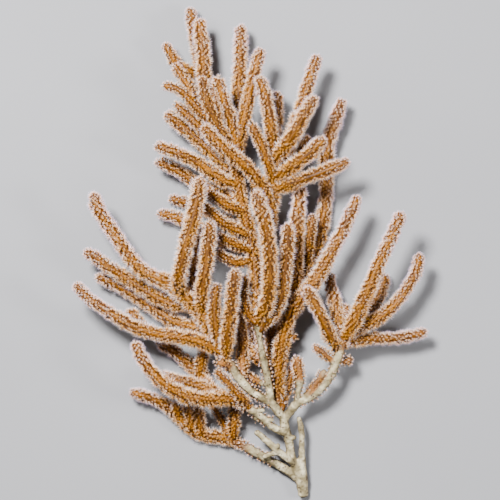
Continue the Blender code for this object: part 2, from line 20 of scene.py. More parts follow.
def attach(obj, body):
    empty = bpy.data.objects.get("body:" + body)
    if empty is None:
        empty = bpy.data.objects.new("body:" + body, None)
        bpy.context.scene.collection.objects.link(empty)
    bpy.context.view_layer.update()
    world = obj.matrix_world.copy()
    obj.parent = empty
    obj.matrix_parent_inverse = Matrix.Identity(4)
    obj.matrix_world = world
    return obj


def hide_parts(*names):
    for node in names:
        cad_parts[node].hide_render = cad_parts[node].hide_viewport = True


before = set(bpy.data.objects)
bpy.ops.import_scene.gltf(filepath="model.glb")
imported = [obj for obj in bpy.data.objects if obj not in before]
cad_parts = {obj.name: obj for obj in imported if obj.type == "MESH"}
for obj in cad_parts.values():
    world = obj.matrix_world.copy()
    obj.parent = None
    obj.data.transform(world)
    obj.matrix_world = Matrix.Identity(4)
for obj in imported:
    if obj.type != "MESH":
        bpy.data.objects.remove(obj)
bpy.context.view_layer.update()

# %% [markdown]
# Every limb and finger is a tube along a given route. A route's points hold what an
# eye above the colony sees: X across, Y from foot to crown, and the height above the
# surface, all in millimetres. A bare stretch also has its own radius at each point, and a
# finger's radius reaches the tips of its polyps. These routes repeat the solids' own, so
# that each piece grows exactly where its solid is.

# %% Words for the routes
MM = 0.001
COAT = 7.0  # a finger's radius, out to the tips of its polyps
SLIM_COAT = 6.0  # the same on a slimmer finger
TIP_SHARE = 0.85  # of that radius, where a finger starts to round off
FORK_SHARE = 0.8  # of that radius, where a finger starts inside its limb
LIMB_BARE = 3.9  # up to this radius a limb's own stretch is bare
FORK_BARE = 2.9  # up to this radius a finger's start is bare
EYE_HEIGHT = 2030  # of the eye above the colony
SEEN_PLANE = 30  # the height at which the routes' X and Y are true

Route = namedtuple("Route", "points bare_below")
LIMBS = {}


def bare(*points):
    """A stretch with its own radius at each point: (x, y, height, radius)."""
    return Route(list(points), LIMB_BARE)


def finger(*points, start=None, reach=COAT):
    """A finger with a coat of polyps, through points (x, y, height)."""
    first = reach * FORK_SHARE if start is None else start
    radii = [first] + [reach] * (len(points) - 2) + [reach * TIP_SHARE]
    return Route([(*point, radius) for point, radius in zip(points, radii)], FORK_BARE)


def new_limb(name):
    """Starts a limb. The pieces that grow next belong to it."""
    LIMBS[name] = {}


def grow(name, *routes):
    """Keeps a piece of the newest limb. Its first route is its main run, the rest twigs."""
    limb = list(LIMBS)[-1]
    LIMBS[limb][name] = routes
    print(limb, "carries", name, "with", len(routes), "routes")


print("the eye is", round(EYE_HEIGHT * MM, 3), "metres up")

# %% [markdown]
# The stem is the foot of the colony, knobbly and cream. Beside it stand a second, thinner
# branch and a fork that has snapped off. A stretch with no coat shows every swelling, so it
# gets a radius at each of its points instead of one for all.

# %% Stem
new_limb("stem")
grow("stem", bare(
    (42.8, -196.3, 3.7, 4.2), (41.9, -188, 5.2, 4.4), (38.9, -178, 7.5, 4.2), (35.2, -169, 10, 3.6),
    (32.4, -160, 12.5, 3.4), (31.3, -151.5, 15, 3.4), (28.6, -143, 18, 3.9),
    (27.2, -136, 20.5, 3.6), (26.8, -130.5, 22, 3.2)
), bare(
    (42.8, -188, 6, 3.9), (42.3, -179, 8, 3.6), (41.6, -170, 10, 3.3), (41.4, -162, 12, 2.5),
    (41.4, -152, 13, 2.0), (41.2, -144, 13.8, 2.4), (40.2, -137.5, 14.6, 2.2),
    (38.6, -131.5, 15.5, 1.6)
), bare(
    (31.5, -149, 16, 2.0), (34.6, -148.6, 18, 1.9), (37, -148.2, 19, 1.6)))
grow("broken_fork", bare(
    (35, -170, 12, 2.6), (29.5, -164.5, 15, 2.9), (22, -159, 18.5, 2.8), (16.5, -154, 20, 2.8),
    (11.5, -149.5, 20.5, 2.7), (3.8, -143.3, 21, 2.1)
), bare(
    (22.5, -160, 18.5, 2.2), (16, -161.8, 17, 2.2), (9.5, -163.8, 15, 1.9)
), bare(
    (18.5, -157, 19.5, 1.8), (22.3, -155, 21, 1.9), (23.8, -154, 22, 1.5)))

# %% [markdown]
# The lowest limb turns left close to the foot. It is bare up to the bend and then becomes
# one long, coated curve. Its small uprights are twigs of the same piece, being so short.

# %% Low limb
new_limb("low_limb")
grow("low_limb", bare(
    (38, -181.5, 6, 3.2), (31, -175.8, 7.5, 3.5), (22, -170, 8, 3.4), (12, -164.3, 8, 3.3),
    (3, -159.4, 7.6, 3.7), (-4, -156, 7.2, 4.8), (-11, -152.3, 6.8, 5.8)))
grow("low_curve", finger(
    (-8, -153.5, 6.8), (-17, -148.9, 5.8), (-27, -148.2, 5.5), (-36, -146.7, 5.4),
    (-44.5, -142.7, 5.6), (-52, -136.6, 6.2), (-58.5, -130, 7), (-66, -123.4, 8.2), (-77, -118, 10),
    (-87, -114.4, 12), (-98, -111.8, 13.5)
), finger(
    (-46, -142, 8), (-47.5, -134, 10), (-48.5, -126, 12), (-49, -118, 13), reach=SLIM_COAT
), finger(
    (-57, -132, 8), (-58.5, -126, 11), (-60, -119, 13), reach=SLIM_COAT
), finger(
    (-38, -146, 7), (-40.5, -137, 10), (-41.5, -128, 12), (-42, -119, 13), reach=SLIM_COAT
), finger(
    (-13.5, -149, 9), (-12.8, -139, 13.5), (-12.3, -129, 16.5), (-12, -120, 19), (-12, -112.5, 20),
    reach=6.3
), finger(
    (-17, -147, 7), (-20.5, -138, 8.5), (-25, -130, 9.5), (-31.5, -122.5, 10), reach=4.6))

# %% [markdown]
# This limb ends in a long finger that hooks upwards at the left, with other fingers behind
# it. A stub of dead coral is a route of three points. It starts well inside its limb, so
# that the fork closes without a seam.

# %% Hook limb
new_limb("hook_limb")
grow("hook_limb", bare(
    (29, -145.5, 18, 2.7), (22, -142.3, 21, 2.9), (14, -136.3, 24, 3.0), (7, -130.3, 26.5, 3.2),
    (1, -126.3, 28.5, 4.0), (-5, -122, 30.5, 5.4), (-12, -117.8, 33, 6.4)
), bare(
    (13.5, -134.5, 24.5, 1.8), (17, -134.2, 26.5, 1.7), (19.2, -134.8, 27, 1.4)
), bare(
    (4.5, -128, 27.5, 2.2), (8.5, -126.2, 29.5, 2.0), (11.8, -127, 30, 1.6)
), bare(
    (5.5, -130.5, 26, 2.3), (4.5, -133.5, 25, 2.0), (8.5, -135.4, 24, 1.5)))
grow("hook", finger(
    (-8, -119, 32), (-20, -117.3, 36), (-31, -118, 38), (-41, -117.5, 40), (-51, -115.5, 41),
    (-61, -110.5, 42), (-70, -104.3, 43), (-77.5, -97, 43), (-83.5, -89.5, 43), (-88.8, -81, 43),
    (-92.8, -70.3, 43), reach=7.2))
grow("hook_back", finger(
    (-17, -117, 34), (-29, -111.5, 25), (-40, -107.5, 21), (-51, -104.5, 20), (-62, -102, 20),
    (-75, -97.5, 21), reach=6.5))
grow("cross_riser", finger(
    (-29, -112.5, 25), (-35, -104, 15.5), (-41.5, -96.5, 12.5), (-48.5, -90, 11.5),
    (-55.5, -84, 11.5), (-63, -78, 11.5), (-75.5, -69, 12), reach=6.8
), finger(
    (-40.5, -99, 14), (-39.5, -92, 17), (-38, -84, 19.5), (-36.5, -73, 20.5), reach=5.8))
grow("hook_sprig", finger(
    (0, -125.5, 29), (-5, -118.5, 37.5), (-12, -111, 42), (-19, -103.5, 44), (-28.5, -93.5, 45),
    start=2.8, reach=5.4))

# %% [markdown]
# The left limb leaves the stem bare and carries two long, low fingers. A curve through a few
# points bends as a grown finger does, which a bent cylinder would not.

# %% Left limb
new_limb("left_limb")
grow("left_limb", bare(
    (25.8, -132, 22, 2.9), (21, -125.5, 24, 3.8), (16.3, -120.2, 26, 3.7), (8, -115.8, 28, 3.3),
    (0.5, -110.8, 30, 3.0), (-6, -104, 32, 3.2), (-12, -96.3, 33, 3.6), (-18.5, -86.8, 34, 4.6),
    (-24.5, -77.5, 35, 5.8), (-30, -69, 35.5, 6.3)
), finger(
    (-13, -95, 34), (-20, -90, 39), (-28.5, -87.5, 41), start=2.6, reach=5.0
), finger(
    (-7, -102.5, 32), (-6, -92, 26), (-6, -80, 22.5), (-7, -67, 21.5), (-8.5, -54, 21),
    (-10, -39, 20.5), start=2.6, reach=6.2))
grow("low_long", finger(
    (-22, -81, 35), (-33, -75, 38), (-46, -70.3, 40), (-59, -67.8, 41), (-72, -66, 41),
    (-85, -63, 41), (-96, -58.3, 41), (-106, -52.8, 40), (-115, -47, 39), (-123.5, -41.3, 38.5),
    (-131, -35, 38), (-141.5, -23.5, 38)
), finger(
    (-84, -61, 39), (-91.5, -53, 33), (-98.5, -44.8, 31), reach=6.3))
grow("low_reach", finger(
    (-28.5, -71, 32), (-39, -61.5, 24), (-50, -59, 20), (-61, -55.4, 18), (-71, -49, 15.5),
    (-80, -42.5, 13.5), (-90, -36, 12.5), (-101, -29.3, 12), (-112, -23.5, 13),
    (-124.5, -18.3, 15)))

# %% [markdown]
# The left fan spreads widest. Its striped fingers stand up towards the eye, so their heights
# rise along the route, and they look shorter from above than they are.

# %% Left fan
new_limb("left_fan")
grow("left_fan", finger(
    (-28.5, -71.5, 35.5), (-32, -60.5, 37.5), (-38, -50, 37.5), (-46, -41, 37.5),
    (-55, -32.5, 37.5), (-65, -24.5, 37), (-75, -20.3, 36.5), (-83, -16.7, 36), (-90, -11, 36),
    (-96, -4, 36), (-102, 4.5, 36.5), (-108.3, 13.8, 37), (-115.5, 24, 38), (-121.8, 35, 39),
    (-126.2, 49.5, 40), reach=8.0))
grow("left_reach", finger(
    (-47, -41, 36), (-60, -42, 27), (-73, -37, 24.5), (-84, -30.5, 23.5), (-94, -24, 23),
    (-104, -17.8, 23), (-113.5, -11.8, 24), (-123, -4.8, 25), (-134.5, 2.3, 26)))
grow("stripe_left", finger(
    (-54, -35, 37.5), (-57.3, -26, 47), (-56.2, -15, 54), (-52.8, -1, 57.5), (-49.9, 12, 59.5),
    (-46.3, 24, 61), (-43.5, 37, 62), (-41.2, 50, 63), (-39.7, 61.7, 64), reach=7.3))
grow("left_inner", finger(
    (-43, -45, 37), (-45.5, -31, 34), (-46, -16, 33), (-43.5, -1, 33), (-40.8, 12, 34),
    (-39.5, 23.5, 35), reach=SLIM_COAT))
grow("stripe_middle", finger(
    (-38, -50, 38), (-38.6, -36, 47), (-37, -23, 51), (-35.2, -10, 53), (-34, 3, 55),
    (-32.8, 14, 56), (-32.2, 26, 57)))
grow("low_stripe", finger(
    (-19.5, -86, 35), (-18.5, -75, 43.5), (-17.6, -63, 47.5), (-16.2, -52, 50.5), (-14.8, -40, 53),
    (-13.2, -28, 55.5), (-11.3, -12, 58), start=4.0, reach=6.8))
grow("low_stripe_back", finger(
    (-24, -77, 37), (-26.3, -64, 43.5), (-28.2, -52, 45), (-28, -40, 46), (-26.3, -23.5, 47.5),
    reach=6.3))

# %% [markdown]
# The middle limb leads to the crown's trunk. What grows from the trunk hides most of it, yet
# it is made in full, because the colony is also seen from the side.

# %% Middle
new_limb("middle")
grow("middle_limb", bare(
    (17, -119.5, 26, 2.7), (15.5, -110, 29, 3.1), (13.9, -100, 31.5, 2.9), (12, -91, 33.5, 2.9),
    (10, -82, 35, 2.9), (8.3, -73, 36.5, 2.2), (7, -65, 37.5, 2.3), (5, -56.5, 38, 2.9)
), finger(
    (13.5, -106, 30), (5.5, -103.3, 25), (-2, -99, 21), (-8.5, -92.5, 19.5), start=2.0, reach=4.6
), finger(
    (11.5, -89, 33), (5, -84, 24), (0.5, -75, 14), (-1, -65, 11), (-1.5, -53, 12), start=2.2,
    reach=6.2))
grow("trunk", finger(
    (5.6, -59, 38), (4.6, -46, 36), (4.6, -34, 31), (4.6, -21, 28), (3.5, -8, 27), (1, 6, 26),
    (-2, 20, 26), (-5.5, 34, 26), (-8.5, 48, 27), (-10.5, 64, 29), (-11, 80, 33), (-13.5, 95, 39),
    (-16.3, 108, 44), (-20.5, 120, 48), (-24, 131, 51), (-27.2, 141.5, 54), start=2.6, reach=6.8
), finger(
    (3, -6, 27), (-7, -9, 33), (-16.5, -7, 36), (-27.5, 1.5, 38), reach=5.6
), finger(
    (0, 12, 27), (-9.5, 17, 33.5), (-20, 22, 37.5), (-29, 30, 40), (-39, 39.5, 42), reach=5.6
), finger(
    (1, 0, 28), (-9.5, 5, 33), (-18, 9, 35), (-27.5, 14, 37), reach=5.4
), finger(
    (-5, 32, 28), (-15.5, 36, 33), (-25, 41.5, 36), (-36, 49.3, 38), reach=5.6
), finger(
    (3, -10, 24), (6, 4, 14), (7.5, 18, 8), (7.5, 32, 7.5), (6, 46, 8), (4, 62, 9), reach=6.5))
grow("stripe_centre", finger(
    (5.6, -58.5, 39), (9.8, -49, 46), (13.8, -40, 51.5), (15.3, -28, 55.5), (16, -15, 58.5),
    (15.8, -2, 61), (14.2, 11, 63), (12, 23, 64.5), (8.8, 35, 65.5), (3, 50.3, 66.5), start=2.2,
    reach=7.3))
grow("stripe_right", finger(
    (7, -64, 37.5), (14, -54, 41), (21, -45, 43), (25, -35, 45), (27, -22, 47), (28.8, -8, 49),
    (30, 6, 51), (30.6, 25, 53), start=2.0, reach=6.8))
grow("inner_left", finger(
    (5, -57, 38.5), (-1, -50, 39), (-4.5, -40, 40), (-5, -29, 41), (-4, -16.5, 41.5), start=2.4,
    reach=5.6))

# %% [markdown]
# The left crown is a stack of fingers, one above another. A photograph holds no heights, so
# they were chosen from which finger covers which.

# %% Left crown
new_limb("left_crown")
grow("crown_short_low", finger(
    (-1, 5, 25), (-14, 6.5, 19), (-27, 11.5, 14), (-39, 18.5, 11.5), (-51, 24.3, 11),
    (-62, 28.4, 11), (-76, 32, 12), reach=6.6))
grow("crown_short", finger(
    (-4, 19, 24), (-18, 24, 17), (-30, 30.5, 10.4), (-42, 36.5, 5.4), (-53, 40.2, 4.8),
    (-66.5, 43.6, 6.4), reach=6.2))
grow("crown_left_low", finger(
    (-8, 42, 26), (-21, 44.5, 22), (-32, 49, 19), (-42, 54.8, 17.5), (-50, 59.8, 17),
    (-58, 64.8, 17.5), (-66, 69, 18.5), (-77, 73, 20), reach=6.8))
grow("crown_left", finger(
    (-10.5, 54, 28), (-20, 56.5, 33), (-28, 61.5, 35.5), (-35.5, 67, 37), (-43, 72.3, 38),
    (-50, 75.8, 38.5), (-57.5, 79, 39), (-66, 82.3, 39), (-77.7, 86, 39), reach=6.8))
grow("crown_left_high", finger(
    (-10.7, 62, 29), (-20, 70, 23), (-28.5, 78, 20.5), (-37, 85.8, 19.5), (-45, 92.8, 19),
    (-53, 99.8, 19), (-61, 106, 19.5), (-69.3, 112.3, 20)))
grow("crown_slim", finger(
    (-11, 70, 30), (-19, 77.5, 35), (-27, 86.5, 35), (-35, 95, 34.5), (-42, 102, 34),
    (-48.5, 108, 33.5), (-55, 114, 33), (-61.8, 119.7, 33), reach=5.6
), finger(
    (-34, 94, 34.5), (-39, 103, 29), (-44, 111, 26), (-50, 119.5, 25), reach=5.6))
grow("crown_side", finger(
    (-13.5, 93, 38), (-25.5, 101, 41), (-34, 107.3, 42), (-41, 113.8, 43), (-47, 120.5, 43),
    (-53, 127, 43), (-60, 131, 42.5), (-71.7, 133.7, 42), reach=5.6
), finger(
    (-45, 122, 42), (-48, 131, 37), (-53, 138, 34), (-57, 144.5, 33), (-60.5, 151.5, 32),
    reach=5.8))
grow("crown_stripe_side", finger(
    (-15, 83, 37), (-21, 93, 45.5), (-27, 103, 50), (-31.5, 113, 52.5), (-35.3, 124, 54),
    (-38.8, 141.3, 55.5), reach=5.8
), finger(
    (-24.5, 99, 48), (-26.5, 110, 49), (-28.5, 121, 50), (-31, 138, 51), reach=5.4))
grow("crown_tall", finger(
    (-11.5, 72, 29), (-19, 85, 23.5), (-25.5, 97, 22), (-30, 109, 22), (-33.5, 121, 22.5),
    (-35.6, 133, 23), (-36.8, 145, 24), (-37.6, 156, 25), (-38.8, 171, 26), (-40.2, 188, 27),
    reach=7.3))
grow("crown_tallest", finger(
    (-28, 104, 21), (-33, 116, 13), (-36.5, 128, 8.5), (-38.5, 140, 5.9), (-40.3, 152, 5.4),
    (-42, 164, 5.7), (-45, 178, 8.5), (-48.6, 197.7, 12), reach=6.9
), finger(
    (-39, 138, 8), (-46.5, 143.5, 10), (-54.5, 147.5, 12), (-61, 154, 14), (-69.5, 169, 16),
    reach=6.4))
grow("crown_middle", finger(
    (-10.8, 76, 32), (-8.5, 89, 37), (-6, 101, 39), (-3.5, 113, 40), (-1, 124, 40), (1.7, 135, 40),
    (5, 147, 40), (7, 156, 40), (10, 165, 40), reach=6.5))
grow("crown_back", finger(
    (-10, 76, 29), (-9.5, 90, 21), (-10, 104, 16.5), (-9.6, 117, 15.5), (-9, 130, 15.5),
    (-8.5, 143, 16), (-8.1, 156, 17), (-7.4, 169, 18), (-7, 184, 19), reach=7.6))

# %% [markdown]
# The right crown leans the other way, from a trunk of its own. One of its fingers crosses
# over the left crown: its route climbs first, and then stays above its neighbours.

# %% Right crown
new_limb("right_crown")
grow("right_trunk", finger(
    (4.2, -20, 28), (8.5, -7, 23), (12, 8, 21), (15.3, 24, 22), (17.3, 38, 24.5), (18.2, 52, 27),
    (18.3, 66, 30), (18, 80, 34), (17, 95, 38), (15.3, 110, 42), (12.2, 125, 45.5), (6.3, 142, 49)
), finger(
    (18.3, 58, 30), (13.8, 72, 41), (9.7, 84, 46), (5.3, 93.5, 48), (-0.3, 104.7, 49), reach=5.6
), finger(
    (18.3, 52, 26), (29, 62, 19), (37, 73, 17), (43, 83, 17), (47.3, 94, 17.5), reach=6.3))
grow("crown_cross", finger(
    (16, 37, 25), (11.5, 49, 35), (4.5, 60, 43), (-4, 68.7, 47.5), (-12, 75.2, 50), (-20, 82.2, 52),
    (-28, 90.2, 53), (-38, 102.5, 54), reach=6.8))
grow("right_side_stripe", finger(
    (18.3, 49, 27), (31, 53.8, 36), (43, 58.3, 41), (55, 62.8, 44), (67, 67.8, 45),
    (81.7, 73.5, 46), reach=6.6))
grow("right_short_stripe", finger(
    (18.3, 59, 29), (30, 65.5, 39), (41, 74, 45), (51.5, 82.3, 48), (61, 93, 50), reach=6.8))
grow("right_crown_stripe", finger(
    (18, 72, 32), (25, 80.5, 41), (32.5, 90.5, 47), (39, 101.5, 50.5), (45, 112, 53),
    (53.5, 126, 55)))
grow("right_tall", finger(
    (18.6, 66, 29), (26.8, 79, 27), (33, 92, 27.5), (37.8, 104, 28), (41.6, 116, 29), (45, 130, 30),
    (49.4, 144, 31), (55.4, 159.4, 32), reach=7.3))
grow("right_upright", finger(
    (17.4, 86, 35), (19, 95, 25), (20.4, 104, 22), (21.2, 114, 21.5), (21.4, 130.5, 21.5)))

# %% [markdown]
# The right column is one long finger, from the stem to the crown's right edge. Two more
# stand beside and behind it and fill the middle.

# %% Right column
new_limb("right_column")
grow("column", finger(
    (22, -126.5, 22), (21.8, -113, 18), (22.4, -99, 18.5), (24, -85, 20), (26, -71, 22),
    (28.8, -58, 25), (34.4, -46, 28.5), (42.6, -35, 31.5), (51.4, -24, 33), (59.4, -11.4, 34),
    (66.4, 1.5, 35), (72.8, 13.6, 36), (78.8, 26.6, 37), (87, 46.6, 38), start=1.8, reach=7.3
), finger(
    (27, -67, 22), (33, -67.5, 21), (38.6, -68.4, 21), reach=4.2
), bare(
    (28, -57, 24, 1.6), (31, -50.5, 31.5, 1.5), (33.8, -42.6, 35, 1.0)
), finger(
    (22, -108, 18), (17.8, -98, 10), (16, -86, 8.4), (16.4, -73, 8.4), (18.6, -60, 9),
    (20.8, -44, 10), start=3.0, reach=6.3))
grow("right_inner", finger(
    (34.5, -44.5, 29), (35.8, -30, 26.5), (36, -16, 25.5), (36.6, -2, 25), (37.6, 12, 25),
    (38, 26, 25.5), (39, 40, 26), (41, 54, 26.5), reach=7.6))
grow("right_rear", finger(
    (38, -41, 30), (41, -28, 20), (44.6, -15, 12), (49.6, -3, 8), (54, 8.6, 6.2), (57, 20, 5.8),
    (59.4, 31.5, 5.8), (60.8, 44, 6.2), (61, 57, 7.6), (60.6, 70, 9.5), (61.2, 83, 12),
    (64.6, 95, 14), (69.2, 107.6, 16), (74.6, 124.6, 18), reach=7.6
), finger(
    (46, -11, 12), (46.4, 0, 19), (47.4, 10, 21.5), (48.8, 20, 22.5), (51, 31.5, 23.5), reach=6.0))

# %% [markdown]
# The right limb stays bare for longest and ends in a small fan of its own. Its spur swells
# towards the end, where the coat begins again, so it is a bare stretch with growing radii.

# %% Right limb
new_limb("right_limb")
grow("right_limb", bare(
    (28, -133.4, 22, 2.8), (33, -126.4, 22.5, 3.5), (38.4, -120.6, 23, 3.6),
    (44.8, -117.4, 23.5, 3.5), (51.6, -113.4, 24, 3.5), (58.4, -107.2, 25, 3.5),
    (64.4, -98.8, 26, 3.5), (68, -90, 27, 3.6), (71, -82, 28.5, 3.8), (74, -74.5, 30, 5.2),
    (76.4, -67, 31, 6.4)
), finger(
    (67, -88.5, 28), (61.5, -83.4, 32), (56, -79, 34), (48.6, -74.6, 35), start=2.2, reach=5.4
), finger(
    (69.4, -87, 27), (76, -87.6, 22), (83.2, -84.4, 20), start=2.2, reach=5.2
), finger(
    (42.5, -117.5, 24), (48.6, -110, 25.5), (54.6, -103, 27), (60.6, -93.6, 28), start=2.4,
    reach=4.1))
grow("fork_spur", bare(
    (37.4, -120, 23, 2.4), (38.4, -113, 27, 2.2), (39.4, -106.5, 30, 2.8), (39.8, -99.5, 32, 5.4),
    (38.8, -91.6, 33.5, 6.0), (36.8, -81.8, 34.5, 4.8)))
grow("fork_finger", finger(
    (25.6, -127, 21.5), (27, -117, 14.5), (30.8, -106, 11.5), (34.2, -95.4, 11), (35.8, -84, 11.5),
    start=1.8, reach=5.4))
grow("right_low", finger(
    (73.5, -73, 29), (84, -70, 23.5), (95, -69.2, 20.5), (107, -69.4, 19), (118, -69, 18.5),
    (128.6, -67, 19), (143.4, -63.2, 20), reach=6.8))
grow("right_reach", finger(
    (76, -67.5, 31), (86, -61, 29), (98, -55.4, 28), (109.4, -48.4, 27.5), (119.2, -38.2, 27.5),
    (126.8, -27, 28), (132.8, -16, 29), (136.4, 0.8, 30), reach=6.8))
grow("right_long", finger(
    (76, -69.5, 31.5), (82, -58, 38), (88, -45, 42), (93.6, -32, 44.5), (99, -19, 46),
    (104.6, -6, 47), (110.4, 7, 48), (116.2, 19, 49), (122.4, 34, 50), reach=7.4))
grow("right_short", finger(
    (92, -56.5, 28), (97, -46, 17), (102, -37, 10), (105.6, -28, 6.4), (108.4, -15.4, 5.8)))
grow("right_fan_inner", finger(
    (73.5, -71.5, 29.5), (71.4, -60, 21), (69.4, -47, 15.5), (66.6, -35, 13), (61.4, -14.5, 12)
), finger(
    (72, -63, 23), (76, -54, 17), (78.4, -40.5, 14), reach=SLIM_COAT))
grow("right_fan_stripe", finger(
    (70.8, -81, 28.5), (65.8, -71, 37), (60.6, -60, 41.5), (55.6, -49, 44), (50.6, -39, 45.5),
    (44.4, -27, 47), start=4.2, reach=6.8))

# %% All limbs together
BARE_PIECES = ("stem", "broken_fork", "low_limb", "hook_limb", "left_limb", "middle_limb",
               "fork_spur", "right_limb")
print(sum(map(len, LIMBS.values())), "pieces in all,", len(BARE_PIECES), "of them bare limbs")

# %% [markdown]
# A route becomes a smooth curve by a rule that passes through every point. The share of
# the coat grows from 0 on a bare stretch to 1 where the polyps stand. The living core under
# them is much slimmer than the solid, because the solid reaches the tips of the arms.

# %% Smooth runs along the routes
CURVE_STEPS = 10  # steps between two points of a route
FADE = 1.3  # of radius, over which a bare stretch turns into a coated one

Run = namedtuple("Run", "places tangents radii coat lengths piece limb")


def run_of(route, piece, limb):
    """The route's places (in metres), directions, radii (in mm) and coat shares."""
    points = np.array(route.points, float)
    share = (EYE_HEIGHT - points[:, 2]) / (EYE_HEIGHT - SEEN_PLANE)
    points[:, :2] *= share[:, None]
    ends = np.vstack([2 * points[0] - points[1], points, 2 * points[-1] - points[-2]])
    dense = []
    for a, b, c, d in zip(ends, ends[1:], ends[2:], ends[3:]):
        for t in np.arange(CURVE_STEPS) / CURVE_STEPS:
            dense.append(0.5 * (2 * b + (c - a) * t + (2 * a - 5 * b + 4 * c - d) * t**2
                                + (3 * b - a - 3 * c + d) * t**3))
    dense.append(ends[-2])
    dense = np.array(dense)
    places = dense[:, :3] * MM
    steps = np.linalg.norm(np.diff(places, axis=0), axis=1)
    tangents = np.gradient(places, axis=0)
    tangents /= np.linalg.norm(tangents, axis=1)[:, None]
    coat = np.clip((dense[:, 3] - route.bare_below) / FADE, 0, 1) * (limb != "stem")
    lengths = np.concatenate([[0], np.cumsum(steps)])
    return Run(places, tangents, dense[:, 3], coat, lengths, piece, limb)


RUNS = [run_of(route, piece, limb) for limb, pieces in LIMBS.items()
        for piece, routes in pieces.items() for route in routes]
print(len(RUNS), "runs,", round(sum(r.lengths[-1] for r in RUNS), 2), "metres of branches")

# %% Reading a run
CORE_SHARE = 0.39  # the living core's radius, as a share of the reach


def core_radius(radius, coat):
    return radius * (1 - coat) + radius * CORE_SHARE * coat


def at(run, distance, values):
    """The run's values, read at a distance from its start."""
    if values.ndim == 1:
        return np.interp(distance, run.lengths, values)
    return np.stack([np.interp(distance, run.lengths, column) for column in values.T], -1)


print("under a coat of", COAT, "mm lies a core of", core_radius(COAT, 1), "mm")

# %% [markdown]
# The core is a curve with a round bevel, the way a wire is made, with a spline for each
# route of the piece. A chain of cylinders would show its joints, and a curve does not. A
# core is rounded off before the solid's end, by the height of the polyps on its tip.

# %% Rings of a core
CORE_STEP = 2 * MM  # between two rings
ROUND = (0.45, 0.75, 0.93, 1.0)  # how far along the rounded tip its rings lie
LAST_RING = 0.12  # of the tip's radius, for the ring that closes it
FOOT_ROUND = 3.2 * MM  # length over which the colony's foot is rounded off
FOOT_END = 0.5  # of its radius, at the very end of the foot


def core_rings(run):
    """Where a core's rings lie, and their radii in mm."""
    tip = core_radius(run.radii[-1], run.coat[-1])
    end = run.lengths[-1] - (run.radii[-1] - tip) * MM
    shank = end - tip * MM
    stops = np.linspace(0, shank, max(3, round(shank / CORE_STEP)))
    radii = core_radius(at(run, stops, run.radii), at(run, stops, run.coat))
    if run is RUNS[0]:
        near = np.clip(1 - stops / FOOT_ROUND, 0, 1)
        radii = radii * np.sqrt(1 - (1 - FOOT_END**2) * near**2)
    cap = np.array([shank + tip * MM * share for share in ROUND])
    narrow = np.array([tip * max(LAST_RING, math.sqrt(1 - share**2)) for share in ROUND])
    return at(run, np.concatenate([stops, cap]), run.places), np.concatenate([radii, narrow])


print("the foot's first rings, in mm:", core_rings(RUNS[0])[1][:3].round(2))


# %% Helpers for objects
def new_object(name, data):
    obj = bpy.data.objects.new(name, data)
    bpy.context.scene.collection.objects.link(obj)
    return obj


def deselect():
    bpy.ops.object.select_all(action="DESELECT")


def choose(*objects):
    """Selects just these objects, with the first one active."""
    deselect()
    for obj in objects:
        obj.select_set(True)
    bpy.context.view_layer.objects.active = objects[0]


deselect()
print("selected now:", len(bpy.context.selected_objects))

# %% Cores
CORE_SIDES = 8
WELD = 0.00001  # metres: points closer than this become one


def core(name, runs, sides):
    """The cores of all the runs as one mesh with closed ends."""
    curve = bpy.data.curves.new(name, "CURVE")
    curve.dimensions = "3D"
    curve.bevel_depth = MM
    curve.bevel_resolution = (sides - 4) // 2
    curve.use_fill_caps = True
    for run in runs:
        places, radii = core_rings(run)
        spline = curve.splines.new("POLY")
        spline.points.add(len(places) - 1)
        for point, place, radius in zip(spline.points, places, radii):
            point.co = (*place, 1.0)
            point.radius = radius
    choose(new_object(name, curve))
    bpy.ops.object.convert(target="MESH")
    bpy.ops.object.mode_set(mode="EDIT")
    bpy.ops.mesh.select_all(action="SELECT")
    bpy.ops.mesh.remove_doubles(threshold=WELD)
    bpy.ops.mesh.normals_make_consistent(inside=False)
    bpy.ops.object.mode_set(mode="OBJECT")
    bpy.ops.object.shade_smooth()
    deselect()
    return bpy.context.view_layer.objects.active


cores = {}
for piece in dict.fromkeys(run.piece for run in RUNS):
    if piece not in BARE_PIECES:
        runs = [run for run in RUNS if run.piece == piece]
        cores[piece] = core(piece + "_core", runs, CORE_SIDES)
print(len(cores), "cores with", sum(len(c.data.polygons) for c in cores.values()), "faces")

# %% [markdown]
# The bare limbs are one grown thing, so their tubes are fused: a voxel remesh melts the
# forks together as bark does. A boolean union would leave a sharp seam at each fork. Then
# two displacements with cloud textures give the swellings and the fine, dry grain.

# %% Bare limbs
LIMB_SIDES = 16
VOXEL = 0.68 * MM
SWELLINGS = (0.005, 1.5 * MM)  # size of the texture's clouds, and how far they push
GRAIN = (0.0016, 0.9 * MM)
FLOOR_GAP = 0.05 * MM  # no point of the colony lies lower


def displace(obj, scale, strength):
    texture = bpy.data.textures.new(obj.name + "_grain", "CLOUDS")
    texture.noise_scale = scale
    modifier = obj.modifiers.new("grain", "DISPLACE")
    modifier.texture = texture
    modifier.strength = strength
    choose(obj)
    bpy.ops.object.modifier_apply(modifier=modifier.name)


bare_runs = [run for run in RUNS if run.piece in BARE_PIECES]
limbs = core("bare_limbs", bare_runs, LIMB_SIDES)
limbs.data.remesh_voxel_size = VOXEL
choose(limbs)
bpy.ops.object.voxel_remesh()
smooth = limbs.modifiers.new("smooth", "SMOOTH")
smooth.iterations = 4
bpy.ops.object.modifier_apply(modifier="smooth")
displace(limbs, *SWELLINGS)
displace(limbs, *GRAIN)
for v in limbs.data.vertices:
    v.co.z = max(v.co.z, FLOOR_GAP)
bpy.ops.object.shade_smooth()
print("bare limbs:", len(limbs.data.polygons), "faces")
